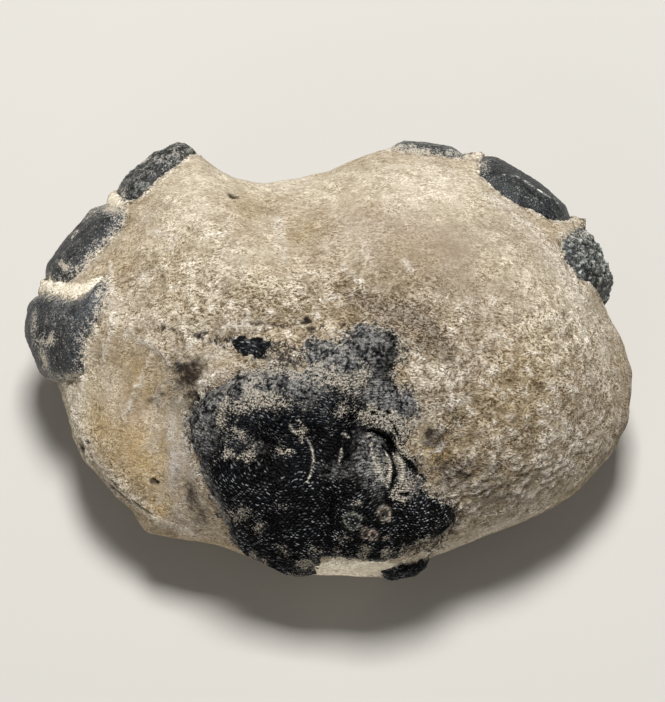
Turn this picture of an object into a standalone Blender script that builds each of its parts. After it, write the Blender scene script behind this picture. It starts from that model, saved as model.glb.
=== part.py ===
"""Fossil crab lying in a hand-sized limestone concretion.

The stone is a flattened, rounded nodule with one side cleaned down to the crab. Its
shape is built in a frame of its own, in millimetres: u runs along the stone's length,
v runs up its cleaned face, and w stands out of that face. That frame is then tipped
back, because the stone rests on a flat spot behind and below the face.
"""
import bpy
import bmesh
import math
from mathutils import Vector, noise

# ---- driving dimensions, in millimetres and degrees ----
FACE_TIP = math.radians(62.0)      # angle between the face's normal and the ground
FACE_HEIGHT = 30.0                 # the dome of the face above the girdle
FACE_FULLNESS = 1.3                # 1 is a round dome; above 1 has flatter flanks
BACK_DEPTH = 24.0                  # the bowl of the back below the girdle
BACK_FULLNESS = 1.1
GIRDLE_SLOPE = 0.353               # keeps the widest line nearly level as it rests
RIM_BLEND = 0.35                   # relief fades out over this share near the rim
REST_LEVEL = -20.0                 # where the flat resting spot cuts the stone
REST_SHIFT = Vector((0.1, -1.4, 0.0))  # puts the middle of the footprint on the origin
PIECE_GAP = 0.3                    # clear space between the stone and each piece
EDGE_SPARE = 0.15                  # added to the gap along a piece's thin edge
ALMOST_EDGE = 0.999
POCKET_OVERSHOOT = 3.0             # how far a pocket's cutter stands out of the stone
NORMAL_REACH = 4.0                 # a normal is taken over this much of the surface
RIM_STEPS = 6                      # straight steps of a leg's edge behind the rim
STONE_SUBDIVISIONS = 4
QUARTER_TURN = math.pi / 2

# Outline of the stone round its girdle, (u, v).
STONE_RIM = [
    (62.4, -1.8), (60.8, 4.7), (58.3, 8.9), (56.9, 12.5), (57.2, 17.5), (55.2, 22.3),
    (52.8, 26.6), (53.4, 28.8), (50.6, 29.5), (47.8, 32.2), (43.6, 36.2), (38.6, 39.3),
    (34.4, 41.8), (32.0, 43.0), (29.2, 42.8), (25.0, 44.0), (20.0, 44.8), (15.5, 45.0),
    (11.2, 44.4), (7.0, 42.9), (0.7, 39.7), (-6.6, 38.2), (-13.6, 37.1), (-19.2, 38.4),
    (-23.5, 40.5), (-27.1, 43.6), (-30.0, 44.4), (-35.2, 42.2), (-39.2, 38.9),
    (-42.4, 35.6), (-45.6, 34.9), (-45.8, 32.4), (-49.4, 28.0), (-53.4, 23.0),
    (-56.2, 18.8), (-58.4, 16.2), (-59.6, 12.0), (-60.2, 6.0), (-57.2, -0.8),
    (-54.8, -4.6), (-53.2, -9.5), (-51.6, -15.2), (-49.2, -19.9), (-42.2, -27.3),
    (-38.9, -30.5), (-36.4, -34.6), (-31.4, -35.2), (-21.4, -37.0), (-14.3, -39.6),
    (-8.7, -42.0), (-1.3, -42.8), (11.5, -43.0), (17.1, -42.2), (20.8, -39.5),
    (34.9, -33.9), (44.1, -30.3), (51.3, -25.9), (57.6, -19.0), (61.2, -12.9),
    (62.2, -6.9),
]

# Broad forms of the face: (u, v, length, width, turn in degrees, height).
FACE_SWELLS = [
    (-29.0, 31.0, 14.0, 11.0, 120.0, 1.5),   # upper left shoulder, under the leg
    (-12.0, 32.0, 12.0, 8.0, 95.0, -0.7),    # shallow dip below the notch in the rim
    (-33.0, -14.0, 19.0, 7.5, 100.0, -4.6),  # trough left of the shell
    (-45.0, -3.0, 9.0, 6.0, 60.0, -1.8),     # chiselled flat beside the leg base
    (-24.0, 3.5, 7.0, 5.0, 15.0, -1.8),      # small hollow above the left lobe
    (-27.0, -1.5, 7.0, 1.8, 35.0, 1.2),      # pale ridge running to the shell
    (24.0, -15.0, 8.0, 6.0, 75.0, -2.0),     # broken ground right of the shell
    (47.0, 5.0, 17.0, 12.0, 80.0, 1.6),      # full right cheek
    (26.0, 20.0, 18.0, 12.0, 150.0, 1.0),    # smooth swell at the upper right
    (3.0, 11.0, 14.0, 3.0, 0.0, -1.0),       # rough ground above the shell
    (-38.5, -6.0, 8.0, 1.6, 72.0, 1.1),      # crease between two chiselled flats
    (-44.5, -25.0, 9.0, 2.5, 125.0, 1.6),    # raised lip along the lower left rim
    (34.0, -24.0, 12.0, 3.0, 25.0, 0.9),     # low ripples of the lower right
    (38.0, -29.0, 11.0, 2.5, 28.0, 0.7),
    (-8.0, 22.0, 9.0, 5.0, 20.0, 0.8),
]
BACK_SWELLS = [
    (30.0, 14.0, 18.0, 12.0, 20.0, 2.4),
    (-26.0, 22.0, 16.0, 11.0, 140.0, 2.0),
    (4.0, 30.0, 12.0, 8.0, 0.0, -2.6),
    (-34.0, -14.0, 16.0, 8.0, 100.0, -1.8),
    (36.0, -20.0, 15.0, 8.0, 40.0, -1.4),
]
# Knobs of stone at the joints of the legs, standing square out of the rim:
# (u, v, degrees past the rim, spread, height).
JOINT_KNOBS = [
    (-44.6, 34.0, 0.0, 3.4, 1.5),
    (-54.0, 15.2, -14.0, 2.6, 1.0),
    (-58.6, 15.8, 0.0, 2.6, 1.4),
    (30.9, 42.3, 0.0, 2.8, 1.2),
    (51.6, 28.2, 0.0, 3.0, 1.5),
]
KNOB_LIMIT = 2.5                   # a knob is left out past this many times its spread
STONE_LUMP_SIZE = 15.0             # spacing of the stone's low, random lumps
STONE_LUMP_HEIGHT = 0.7

# Body shell, on the face.
SHELL_OUTLINE = [
    (-24.9, -6.6), (-26.6, -12.5), (-25.7, -18.3), (-22.0, -26.9), (-18.6, -35.6),
    (-16.2, -38.1), (-11.6, -40.8), (-5.2, -42.6), (-1.6, -40.4), (3.7, -39.4),
    (10.3, -40.2), (14.0, -39.4), (19.5, -37.4), (23.4, -35.4), (25.4, -31.8),
    (24.0, -27.8), (20.0, -25.4), (17.5, -21.2), (18.4, -13.0), (15.5, -5.6),
    (13.6, -2.1), (15.0, 2.2), (12.3, 7.2), (8.7, 7.6), (4.7, 5.8), (-5.2, 5.4),
    (-8.2, 3.2), (-12.1, 0.7), (-17.1, -0.1), (-20.6, -3.3),
]
SHELL_LIFT = 0.9
SHELL_SINK = 1.7
SHELL_SWELLS = [
    (-15.5, -8.5, 8.0, 7.0, 30.0, 3.4),      # left lobe
    (-7.5, -15.0, 5.5, 4.0, 60.0, -2.9),     # deep hollow beside it
    (1.0, -15.0, 11.0, 3.2, 95.0, 1.8),      # ridge down the middle
    (8.5, 0.5, 7.0, 5.5, 30.0, 1.5),         # right lobe at the front of the body
    (11.5, -20.5, 5.5, 2.8, 110.0, -2.3),    # broken, open pit on the right
    (7.2, -13.5, 5.0, 2.0, 130.0, -1.2),
    (-14.5, -28.0, 9.0, 7.0, 110.0, 1.2),    # long left flank
    (1.5, -28.5, 8.0, 2.2, 90.0, -0.9),      # seam of the rear middle
    (17.5, -31.0, 7.0, 4.5, 20.0, 2.0),      # rear right lobe
    (5.0, -31.5, 2.0, 2.0, 0.0, 0.9),
    (11.5, -30.2, 2.0, 2.0, 0.0, 0.9),
    (8.5, -34.5, 2.2, 1.8, 0.0, 0.8),
]

CHIP_OUTLINE = [
    (-20.7, 4.8), (-16.0, 5.3), (-12.6, 4.8), (-10.4, 3.2), (-11.4, 1.7), (-13.9, 0.9),
    (-16.3, 0.4), (-17.5, 1.9), (-19.3, 3.8),
]

# Edge of each leg segment that lies on the face; the segment goes on over the rim.
# Each entry: inner edge, degrees past the rim, crown, sink, keel height, lump height.
LEGS = {
    "left_leg_end": (
        [(-28.2, 43.0), (-32.7, 39.9), (-36.8, 36.1), (-40.3, 33.8), (-43.2, 34.6)],
        12.0, 2.0, 2.0, 0.0, 0.0),
    "left_leg_middle": (
        [(-45.0, 32.0), (-41.4, 30.4), (-41.8, 27.6), (-46.0, 23.0), (-49.8, 18.9),
         (-52.6, 16.3), (-57.4, 16.8)],
        14.0, 2.2, 2.0, 0.0, 0.0),
    "left_leg_base": (
        [(-59.6, 13.4), (-55.0, 13.4), (-50.2, 13.2), (-46.0, 15.6), (-45.0, 11.6),
         (-46.8, 7.0), (-48.4, 3.0), (-49.0, -2.1), (-53.4, -4.4)],
        15.0, 2.2, 2.2, 0.0, 0.0),
    "right_leg_end": (
        [(28.4, 42.4), (24.0, 42.2), (18.0, 43.2), (13.2, 44.2)],
        16.0, 1.4, 2.0, 0.0, 0.0),
    "right_leg_middle": (
        [(49.8, 29.6), (47.3, 29.2), (42.3, 30.8), (36.2, 33.9), (32.2, 38.4),
         (32.8, 42.0)],
        15.0, 1.5, 2.2, 0.8, 0.0),
    "right_leg_base": (
        [(57.4, 11.6), (54.8, 14.8), (51.2, 17.0), (48.3, 21.0), (48.3, 24.6),
         (51.4, 27.0)],
        14.0, 2.0, 1.8, 0.0, 0.7),
}
REAR_EDGE_INNER = [(10.9, -41.6), (14.7, -40.8), (20.2, -39.2)]
REAR_EDGE_WRAP = 10.0


def remove_everything():
    for thing in list(bpy.data.objects):
        bpy.data.objects.remove(thing)


def surface_finish(name, red, green, blue, roughness):
    material = bpy.data.materials.new(name)
    material.use_nodes = True
    shader = material.node_tree.nodes["Principled BSDF"]
    shader.inputs["Base Color"].default_value = (red, green, blue, 1.0)
    shader.inputs["Roughness"].default_value = roughness
    shader.inputs["Metallic"].default_value = 0.0
    return material


# ---- outlines ----
def polar_outline(points, centre=(0.0, 0.0)):
    """An outline as (angle, distance) about a point inside it, sorted by angle."""
    return sorted((math.atan2(v - centre[1], u - centre[0]),
                   math.hypot(u - centre[0], v - centre[1])) for u, v in points)


def outline_reach(outline, angle):
    """Distance from the centre to the straight-sided outline in one direction."""
    for index, (next_angle, next_distance) in enumerate(outline):
        if next_angle > angle:
            break
    else:
        index = 0
        next_angle, next_distance = outline[0]
        next_angle += math.tau
    last_angle, last_distance = outline[index - 1]
    if last_angle > angle:
        last_angle -= math.tau
    before = last_distance * math.sin(angle - last_angle)
    after = next_distance * math.sin(next_angle - angle)
    return last_distance * next_distance * math.sin(next_angle - last_angle) / (before + after)


def widened(points, centre, amount):
    """The outline moved out by an amount, square to its own edges."""
    ring = sorted(points, key=lambda point: math.atan2(point[1] - centre[1],
                                                       point[0] - centre[0]))
    moved = []
    for index, (u, v) in enumerate(ring):
        last = Vector(ring[index - 1])
        following = Vector(ring[(index + 1) % len(ring)])
        along = (following - last).normalized()
        moved.append((u + along.y * amount, v - along.x * amount))
    return moved


STONE_POLAR = polar_outline(STONE_RIM)


# ---- the stone's surface ----
def swell_height(swells, u, v):
    total = 0.0
    for centre_u, centre_v, length, width, turn, height in swells:
        along = math.cos(math.radians(turn))
        across = math.sin(math.radians(turn))
        a = ((u - centre_u) * along + (v - centre_v) * across) / length
        b = ((v - centre_v) * along - (u - centre_u) * across) / width
        total += height * math.exp(-(a * a + b * b))
    return total


def joint_knob_height(p, q):
    total = 0.0
    for knob_u, knob_v, degrees, spread, height in JOINT_KNOBS:
        knob_p, knob_q = chart_past_rim(math.atan2(knob_v, knob_u), degrees)
        away = math.hypot(p - knob_p, q - knob_q) / spread
        if away < KNOB_LIMIT:
            total += height * math.exp(-away * away)
    return total


def smooth_step(value):
    value = max(0.0, min(1.0, value))
    return value * value * (3.0 - 2.0 * value)


def stone_point(turn, fall):
    """turn goes round the rim; fall goes from the face's middle, over the rim at a
    quarter turn, to the middle of the back at a half turn."""
    ring = outline_reach(STONE_POLAR, turn) * math.sin(fall)
    u = ring * math.cos(turn)
    v = ring * math.sin(turn)
    rise = math.cos(fall)
    fade = smooth_step(abs(rise) / RIM_BLEND)
    girdle = -GIRDLE_SLOPE * v
    if rise >= 0.0:
        w = girdle + FACE_HEIGHT * rise ** FACE_FULLNESS
        w += fade * swell_height(FACE_SWELLS, u, v)
    else:
        w = girdle - BACK_DEPTH * (-rise) ** BACK_FULLNESS
        w -= fade * swell_height(BACK_SWELLS, u, v)
    lump = noise.noise(Vector((u, v, w)) / STONE_LUMP_SIZE)
    return Vector((u, v, w + fade * STONE_LUMP_HEIGHT * lump))


# A flat chart of the surface: distance from the middle grows evenly with the fall, and
# goes on past the rim, so one outline can lie partly on the face and partly behind it.
def chart_from_face(u, v):
    turn = math.atan2(v, u)
    rim = outline_reach(STONE_POLAR, turn)
    fall = math.asin(min(1.0, math.hypot(u, v) / rim))
    distance = rim * fall / QUARTER_TURN
    return distance * math.cos(turn), distance * math.sin(turn)


def chart_past_rim(turn, degrees):
    turn = math.remainder(turn, math.tau)
    distance = outline_reach(STONE_POLAR, turn) * (1.0 + math.radians(degrees) / QUARTER_TURN)
    return distance * math.cos(turn), distance * math.sin(turn)


def chart_outline_over_rim(inner, degrees):
    """Closes an edge on the face by a line behind the rim, from one end to the other."""
    first = math.atan2(inner[0][1], inner[0][0])
    last = math.atan2(inner[-1][1], inner[-1][0])
    sweep = math.remainder(first - last, math.tau)
    behind = [chart_past_rim(last + sweep * step / RIM_STEPS, degrees)
              for step in range(RIM_STEPS + 1)]
    return [chart_from_face(u, v) for u, v in inner] + behind


def point_from_chart(p, q):
    turn = math.atan2(q, p)
    fall = math.hypot(p, q) / outline_reach(STONE_POLAR, turn) * QUARTER_TURN
    return stone_point(turn, fall)


def normal_from_chart(p, q):
    across = point_from_chart(p + NORMAL_REACH, q) - point_from_chart(p - NORMAL_REACH, q)
    up = point_from_chart(p, q + NORMAL_REACH) - point_from_chart(p, q - NORMAL_REACH)
    return across.cross(up).normalized()


def to_world(point):
    """From the stone's own frame to the frame in which it rests, in metres."""
    u, v, w = point
    y = v * math.sin(FACE_TIP) - w * math.cos(FACE_TIP)
    z = v * math.cos(FACE_TIP) + w * math.sin(FACE_TIP)
    return (Vector((u, y, z - REST_LEVEL)) + REST_SHIFT) * 0.001


def object_from(bm, name, material):
    mesh = bpy.data.meshes.new(name)
    bm.to_mesh(mesh)
    bm.free()
    mesh.shade_smooth()
    if material:
        mesh.materials.append(material)
    made = bpy.data.objects.new(name, mesh)
    bpy.context.collection.objects.link(made)
    return made


# ---- the stone ----
def make_stone(material):
    bm = bmesh.new()
    bmesh.ops.create_icosphere(bm, subdivisions=STONE_SUBDIVISIONS, radius=1.0)
    for vertex in bm.verts:
        x, y, z = vertex.co.normalized()
        turn = math.atan2(y, x)
        fall = math.acos(max(-1.0, min(1.0, z)))
        point = stone_point(turn, fall)
        distance = outline_reach(STONE_POLAR, turn) * fall / QUARTER_TURN
        p = distance * math.cos(turn)
        q = distance * math.sin(turn)
        knob = joint_knob_height(p, q)
        if knob > 0.0:
            point += normal_from_chart(p, q) * knob
        vertex.co = to_world(point)
    everything = bm.verts[:] + bm.edges[:] + bm.faces[:]
    floor = Vector((0.0, 0.0, REST_SHIFT.z * 0.001))
    cut = bmesh.ops.bisect_plane(bm, geom=everything, dist=1e-6, plane_co=floor,
                                 plane_no=(0.0, 0.0, -1.0), clear_outer=True)
    open_edges = [item for item in cut["geom_cut"] if isinstance(item, bmesh.types.BMEdge)]
    bmesh.ops.contextual_create(bm, geom=open_edges)
    bmesh.ops.triangulate(bm, faces=bm.faces[:])
    return object_from(bm, "matrix", material)


# ---- everything that lies in the stone ----
def piece_on_stone(name, outline, top, bottom, spokes, rings, grow=0.0, material=None):
    """A closed pad laid on the stone. outline is in chart coordinates. top and bottom
    give the heights over the stone's surface from the share of the way to the edge."""
    centre = (sum(p for p, q in outline) / len(outline),
              sum(q for p, q in outline) / len(outline))
    reach = polar_outline(outline, centre)
    wide_reach = polar_outline(widened(outline, centre, grow), centre)
    bm = bmesh.new()
    bmesh.ops.create_uvsphere(bm, u_segments=spokes, v_segments=2 * rings, radius=1.0)
    for vertex in bm.verts:
        x, y, z = vertex.co
        angle = math.atan2(y, x)
        share = math.acos(min(1.0, abs(z))) / QUARTER_TURN
        edge = outline_reach(reach, angle)
        distance = share * edge + (outline_reach(wide_reach, angle) - edge) * share ** 6
        p = centre[0] + distance * math.cos(angle)
        q = centre[1] + distance * math.sin(angle)
        base = point_from_chart(p, q)
        if share > ALMOST_EDGE:
            height = 0.0
        elif z > 0.0:
            height = top(share, base)
        else:
            height = -bottom(share, base)
        vertex.co = to_world(base + normal_from_chart(p, q) * height)
    bmesh.ops.triangulate(bm, faces=bm.faces[:], quad_method="FIXED")
    return object_from(bm, name, material)


def set_in_stone(stone, name, outline, top, bottom, spokes, rings, material):
    """Make the piece, and cut its pocket a little larger than it."""
    piece_on_stone(name, outline, top, bottom, spokes, rings, 0.0, material)

    def pocket_top(share, base):
        return top(share, base) + POCKET_OVERSHOOT * (1.0 - share ** 8) + PIECE_GAP

    def pocket_bottom(share, base):
        return bottom(share, base) + PIECE_GAP

    cutter = piece_on_stone(name + "_pocket", outline, pocket_top, pocket_bottom, spokes,
                            rings, PIECE_GAP + EDGE_SPARE)
    cutter.hide_render = True
    cutter.display_type = "WIRE"
    pocket = stone.modifiers.new(name + "_pocket", "BOOLEAN")
    pocket.operation = "DIFFERENCE"
    pocket.object = cutter


def rounded(share, power):
    return (1.0 - share ** power) ** 0.5


def make_body_shell(stone, material):
    outline = [chart_from_face(u, v) for u, v in SHELL_OUTLINE]

    def top(share, base):
        relief = SHELL_LIFT + swell_height(SHELL_SWELLS, base.x, base.y)
        return relief * rounded(share, 12)

    def bottom(share, base):
        hollow = min(0.0, swell_height(SHELL_SWELLS, base.x, base.y))
        return (SHELL_SINK - hollow) * rounded(share, 12)

    set_in_stone(stone, "carapace", outline, top, bottom, 56, 11, material)


def make_chip(stone, material):
    outline = [chart_from_face(u, v) for u, v in CHIP_OUTLINE]

    def top(share, base):
        return 0.7 * rounded(share, 6)

    def bottom(share, base):
        return 1.0 * rounded(share, 6)

    set_in_stone(stone, "carapace_chip", outline, top, bottom, 14, 2, material)


def make_leg(stone, name, inner, wrap, crown, sink, keel, lumps, material):
    outline = chart_outline_over_rim(inner, wrap)

    def top(share, base):
        ridge = keel * (1.0 - share) ** 1.5
        lump = lumps * noise.noise(base * 0.45) * (1.0 - share)
        return (crown + ridge) * rounded(share, 4) + lump

    def bottom(share, base):
        return sink * rounded(share, 4)

    set_in_stone(stone, name, outline, top, bottom, 18, 4, material)


def make_rear_edge(stone, material):
    outline = chart_outline_over_rim(REAR_EDGE_INNER, REAR_EDGE_WRAP)

    def top(share, base):
        return 1.0 * rounded(share, 4)

    def bottom(share, base):
        return 1.2 * rounded(share, 4)

    set_in_stone(stone, "rear_shell_edge", outline, top, bottom, 14, 2, material)


remove_everything()
limestone = surface_finish("cleaned_limestone", 0.46, 0.37, 0.26, 0.9)
body_shell = surface_finish("blackened_body_shell", 0.012, 0.012, 0.014, 0.45)
leg_shell = surface_finish("blackened_leg_shell", 0.045, 0.047, 0.05, 0.5)

the_stone = make_stone(limestone)
make_body_shell(the_stone, body_shell)
make_chip(the_stone, body_shell)
for leg_name, leg_sizes in LEGS.items():
    make_leg(the_stone, leg_name, *leg_sizes, leg_shell)
make_rear_edge(the_stone, body_shell)
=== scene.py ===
import math

import bmesh
import bpy
import numpy as np
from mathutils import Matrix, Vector, noise


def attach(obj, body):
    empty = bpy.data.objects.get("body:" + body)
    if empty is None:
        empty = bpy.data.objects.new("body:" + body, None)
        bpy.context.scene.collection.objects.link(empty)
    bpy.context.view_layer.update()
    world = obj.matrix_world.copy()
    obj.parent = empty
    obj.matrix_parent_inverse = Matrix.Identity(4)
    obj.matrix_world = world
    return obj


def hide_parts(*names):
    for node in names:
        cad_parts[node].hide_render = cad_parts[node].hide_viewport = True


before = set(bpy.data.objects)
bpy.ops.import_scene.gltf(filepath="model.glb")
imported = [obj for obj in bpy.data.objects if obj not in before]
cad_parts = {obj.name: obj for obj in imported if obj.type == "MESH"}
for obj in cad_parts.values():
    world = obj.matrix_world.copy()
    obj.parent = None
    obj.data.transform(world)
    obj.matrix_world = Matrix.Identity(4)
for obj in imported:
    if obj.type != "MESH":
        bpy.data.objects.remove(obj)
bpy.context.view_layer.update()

# -------- camera
# The stone is looked down on, square to its cleaned face. Its shapes and patterns are in
# millimetres in the stone's own frame: u along its length, v up its face, w out of it.
MM = 0.001
FACE_TIP = math.radians(62.0)  # the face leans back this far from upright
REST_LEVEL = -20.0  # the table's height, from the stone's own origin
REST_SHIFT = (0.1, -1.4, 0.0)  # brings the footprint's middle to the origin
LOOK_AT = (1.23, 2.05)  # the camera looks at this place, from this far away
CAMERA_AWAY = 600.0


def to_world(points):
    """From the stone's own frame, in millimetres, to the resting frame, in metres."""
    u, v, w = np.asarray(points, float).T
    y = v * math.sin(FACE_TIP) - w * math.cos(FACE_TIP)
    z = v * math.cos(FACE_TIP) + w * math.sin(FACE_TIP)
    return (np.stack([u, y, z - REST_LEVEL], 1) + REST_SHIFT) * MM


def add_object(name, data):
    made = bpy.data.objects.new(name, data)
    bpy.context.collection.objects.link(made)
    return made


eye = add_object("camera", bpy.data.cameras.new("camera"))
eye.data.lens = 150.0
eye.data.clip_start = 0.01
eye.data.clip_end = 20.0
eye.location = to_world([(*LOOK_AT, CAMERA_AWAY)])[0]
eye.rotation_euler = (math.pi / 2 - FACE_TIP, 0.0, 0.0)
bpy.context.scene.camera = eye

# -------- the stone
# A limy, sandy concretion the size of a hand. One side was cleaned down to the crab with
# an air scribe, which left dusty, chiselled ground; the back keeps its natural skin.
FACE_HEIGHT = 30.0
FACE_FULLNESS = 1.3
BACK_DEPTH = 24.0
BACK_FULLNESS = 1.1
GIRDLE_SLOPE = 0.353  # the rim lies further back at its top
RIM_BLEND = 0.35  # the broad forms die out below this much rise, towards the rim
STONE_LUMP_SIZE = 15.0
STONE_LUMP_HEIGHT = 0.7
NORMAL_REACH = 4.0  # the surface's direction is taken over this distance
QUARTER_TURN = math.pi / 2

STONE_RIM = [
    (62.4, -1.8), (60.8, 4.7), (58.3, 8.9), (56.9, 12.5), (57.2, 17.5), (55.2, 22.3), (52.8, 26.6),
    (53.5, 27.9), (52.6, 29), (50.6, 29.6), (47.8, 32.2), (43.6, 36.2), (38.6, 39.3), (34.4, 41.8),
    (32, 43), (29.2, 42.8), (25, 44), (20, 44.8), (15.5, 45), (11.2, 44.4), (7, 42.9), (0.7, 39.7),
    (-6.6, 38.2), (-13.6, 37.1), (-19.2, 38.4), (-23.5, 40.5), (-27.1, 43.6), (-30, 44.4),
    (-35.2, 42.2), (-39.2, 38.9), (-42.4, 35.6), (-45.6, 34.9), (-45.8, 32.4), (-49.4, 28),
    (-53.4, 23), (-56.2, 18.8), (-58.4, 16.2), (-59.6, 12), (-60.2, 6), (-57.2, -0.8),
    (-54.8, -4.6), (-53.2, -9.5), (-51.6, -15.2), (-49.2, -19.9), (-42.2, -27.3), (-38.9, -30.5),
    (-36.4, -34.6), (-31.4, -35.2), (-21.4, -37), (-14.3, -39.6), (-8.7, -42), (-1.3, -42.8),
    (11.5, -43), (17.1, -42.2), (20.8, -39.5), (34.9, -33.9), (44.1, -30.3), (51.3, -25.9),
    (57.6, -19), (61.2, -12.9), (62.2, -6.9),
]
# Broad forms: (height, u, v, length, width, turn in degrees if it has one).
FACE_SWELLS = [
    (1.5, -29, 31, 14, 11, 120), (-0.7, -12, 32, 12, 8, 95), (-4.6, -33, -14, 19, 7.5, 100),
    (-1.8, -45, -3, 9, 6, 60), (-1.8, -24, 3.5, 7, 5, 15), (1.2, -27, -1.5, 7, 1.8, 35),
    (-2, 24, -15, 8, 6, 75), (1.6, 47, 5, 17, 12, 80), (1, 26, 20, 18, 12, 150), (-1, 3, 11, 14, 3),
    (1.1, -38.5, -6, 8, 1.6, 72), (1.6, -44.5, -25, 9, 2.5, 125), (0.9, 34, -24, 12, 3, 25),
    (0.7, 38, -29, 11, 2.5, 28), (0.8, -8, 22, 9, 5, 20),
]
BACK_SWELLS = [
    (2.4, 30, 14, 18, 12, 20), (2, -26, 22, 16, 11, 140), (-2.6, 4, 30, 12, 8),
    (-1.8, -34, -14, 16, 8, 100), (-1.4, 36, -20, 15, 8, 40),
]
# Knobs of stone at the leg joints: (u, v, degrees past the rim, spread, height).
JOINT_KNOBS = [
    (-44.6, 34, 0, 3, 0.3), (-54, 15.2, -14, 2.6, 1), (-58.6, 15.8, 0, 2.6, 1.4),
    (30.9, 42.3, 0, 2.8, 1.2), (51.6, 28.2, 0, 3, 1.5),
]
TABLE_ANGLES = np.radians(np.arange(-180.0, 180.0, 0.5))
RIM_EASING = 5  # half-degree steps over which rim corners are eased
FACE_EASING = 41  # and over which they are eased away from the rim
RIM_CORNER_FADE = 8  # how fast the one gives way to the other
FALL_ROUNDS = 8  # rounds in which the fall at a place settles
LINE_TIP = 0.05  # the square of the share of its width that a line keeps at its ends


def clamp(value):
    return np.clip(value, 0.0, 1.0)


def smooth_step(value):
    value = clamp(value)
    return value * value * (3.0 - 2.0 * value)


def outline_table(points, easing):
    """Distance from the middle to a straight-sided outline, every half degree, eased over
    a number of those steps."""
    ring = sorted((math.atan2(v, u), math.hypot(u, v)) for u, v in points)
    angle, distance = np.array(ring).T
    after = np.searchsorted(angle, TABLE_ANGLES, side="right") % len(angle)
    before = after - 1
    to_after = (angle[after] - TABLE_ANGLES) % math.tau
    from_before = (TABLE_ANGLES - angle[before]) % math.tau
    reach = distance[before] * distance[after] * np.sin(to_after + from_before)
    reach /= distance[before] * np.sin(from_before) + distance[after] * np.sin(to_after)
    return sum(np.roll(reach, step - easing // 2) for step in range(easing)) / easing


def distance_at(table, angle):
    return np.interp(angle, TABLE_ANGLES, table, period=math.tau)


def spot(u, v, centre_u, centre_v, length, width, turn=0):
    """A soft-edged oval: 1 in its middle, falling to 0."""
    along = math.cos(math.radians(turn))
    across = math.sin(math.radians(turn))
    a = ((u - centre_u) * along + (v - centre_v) * across) / length
    b = ((v - centre_v) * along - (u - centre_u) * across) / width
    return np.exp(-(a * a + b * b))


def total_of(spots, u, v):
    """The sum of soft-edged ovals, each times the number that it starts with."""
    return sum(strength * spot(u, v, *shape) for strength, *shape in spots)


def coverage(spots, u, v):
    return clamp(total_of(spots, u, v))


def noise_at(points, size, octaves=1, smoothness=1.0):
    """Smooth noise, about -1 to 1, whose features are about size millimetres wide. A
    number added to all points gives another pattern of the same kind."""
    return np.array([noise.fractal(Vector(point), smoothness, 2.0, octaves)
                     for point in np.asarray(points) / size])


RIM_TABLE = outline_table(STONE_RIM, RIM_EASING)
FACE_TABLE = outline_table(STONE_RIM, FACE_EASING)


def rim_distance(turn, fall):
    """Distance from the middle to the rim; its corners die out away from the rim."""
    eased = distance_at(FACE_TABLE, turn)
    return eased + (distance_at(RIM_TABLE, turn) - eased) * np.sin(fall) ** RIM_CORNER_FADE


def stone_surface(turn, fall):
    """turn goes round the rim; fall goes from the face's middle, over the rim at a
    quarter turn, to the middle of the back at a half turn."""
    ring = rim_distance(turn, fall) * np.sin(fall)
    u = ring * np.cos(turn)
    v = ring * np.sin(turn)
    rise = np.cos(fall)
    fade = smooth_step(np.abs(rise) / RIM_BLEND)
    up = clamp(rise) ** FACE_FULLNESS * FACE_HEIGHT
    down = clamp(-rise) ** BACK_FULLNESS * BACK_DEPTH
    face = up + fade * total_of(FACE_SWELLS, u, v)
    back = -down - fade * total_of(BACK_SWELLS, u, v)
    w = np.where(rise >= 0.0, face, back) - GIRDLE_SLOPE * v
    lump = noise_at(np.stack([u, v, w], 1), STONE_LUMP_SIZE)
    return np.stack([u, v, w + fade * STONE_LUMP_HEIGHT * lump], 1)


# A flat chart of the surface: distance from the middle grows evenly with the fall, and
# goes on past the rim, so one outline can lie partly on the face and partly behind it.
def chart_place(turn, fall):
    distance = distance_at(RIM_TABLE, turn) * fall / QUARTER_TURN
    return distance * np.cos(turn), distance * np.sin(turn)


def chart_from_face(u, v):
    turn = np.arctan2(v, u)
    fall = QUARTER_TURN
    for _ in range(FALL_ROUNDS):
        fall = np.arcsin(np.minimum(1.0, np.hypot(u, v) / rim_distance(turn, fall)))
    return chart_place(turn, fall)


def chart_past_rim(turn, degrees):
    return chart_place(turn, QUARTER_TURN + np.radians(degrees))


def surface_from_chart(p, q):
    turn = np.arctan2(q, p)
    fall = np.hypot(p, q) / distance_at(RIM_TABLE, turn) * QUARTER_TURN
    return stone_surface(turn, np.minimum(fall, math.pi))


def normals_from_chart(p, q):
    across = surface_from_chart(p + NORMAL_REACH, q) - surface_from_chart(p - NORMAL_REACH, q)
    up = surface_from_chart(p, q + NORMAL_REACH) - surface_from_chart(p, q - NORMAL_REACH)
    normal = np.cross(across, up)
    return normal / np.linalg.norm(normal, axis=1)[:, None]


def distance_to_path(u, v, path):
    """Distance to a line drawn through points, and how far along it, 0 to 1."""
    best = np.full(len(u), np.inf)
    along = np.zeros(len(u))
    for index, (start, end) in enumerate(zip(path[:-1], path[1:])):
        run = np.array(end, float) - start
        share = ((u - start[0]) * run[0] + (v - start[1]) * run[1]) / (run @ run)
        share = clamp(share)
        away = np.hypot(u - start[0] - share * run[0], v - start[1] - share * run[1])
        nearer = away < best
        best = np.where(nearer, away, best)
        along = np.where(nearer, (index + share) / (len(path) - 1), along)
    return best, along


def line_mark(u, v, path, width):
    """A soft-edged line that thins out towards both ends."""
    away, along = distance_to_path(u, v, path)
    thinning = np.clip(4.0 * along * (1.0 - along), LINE_TIP, 1.0) ** 0.5
    return np.exp(-(away / (width * thinning)) ** 2)


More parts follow.
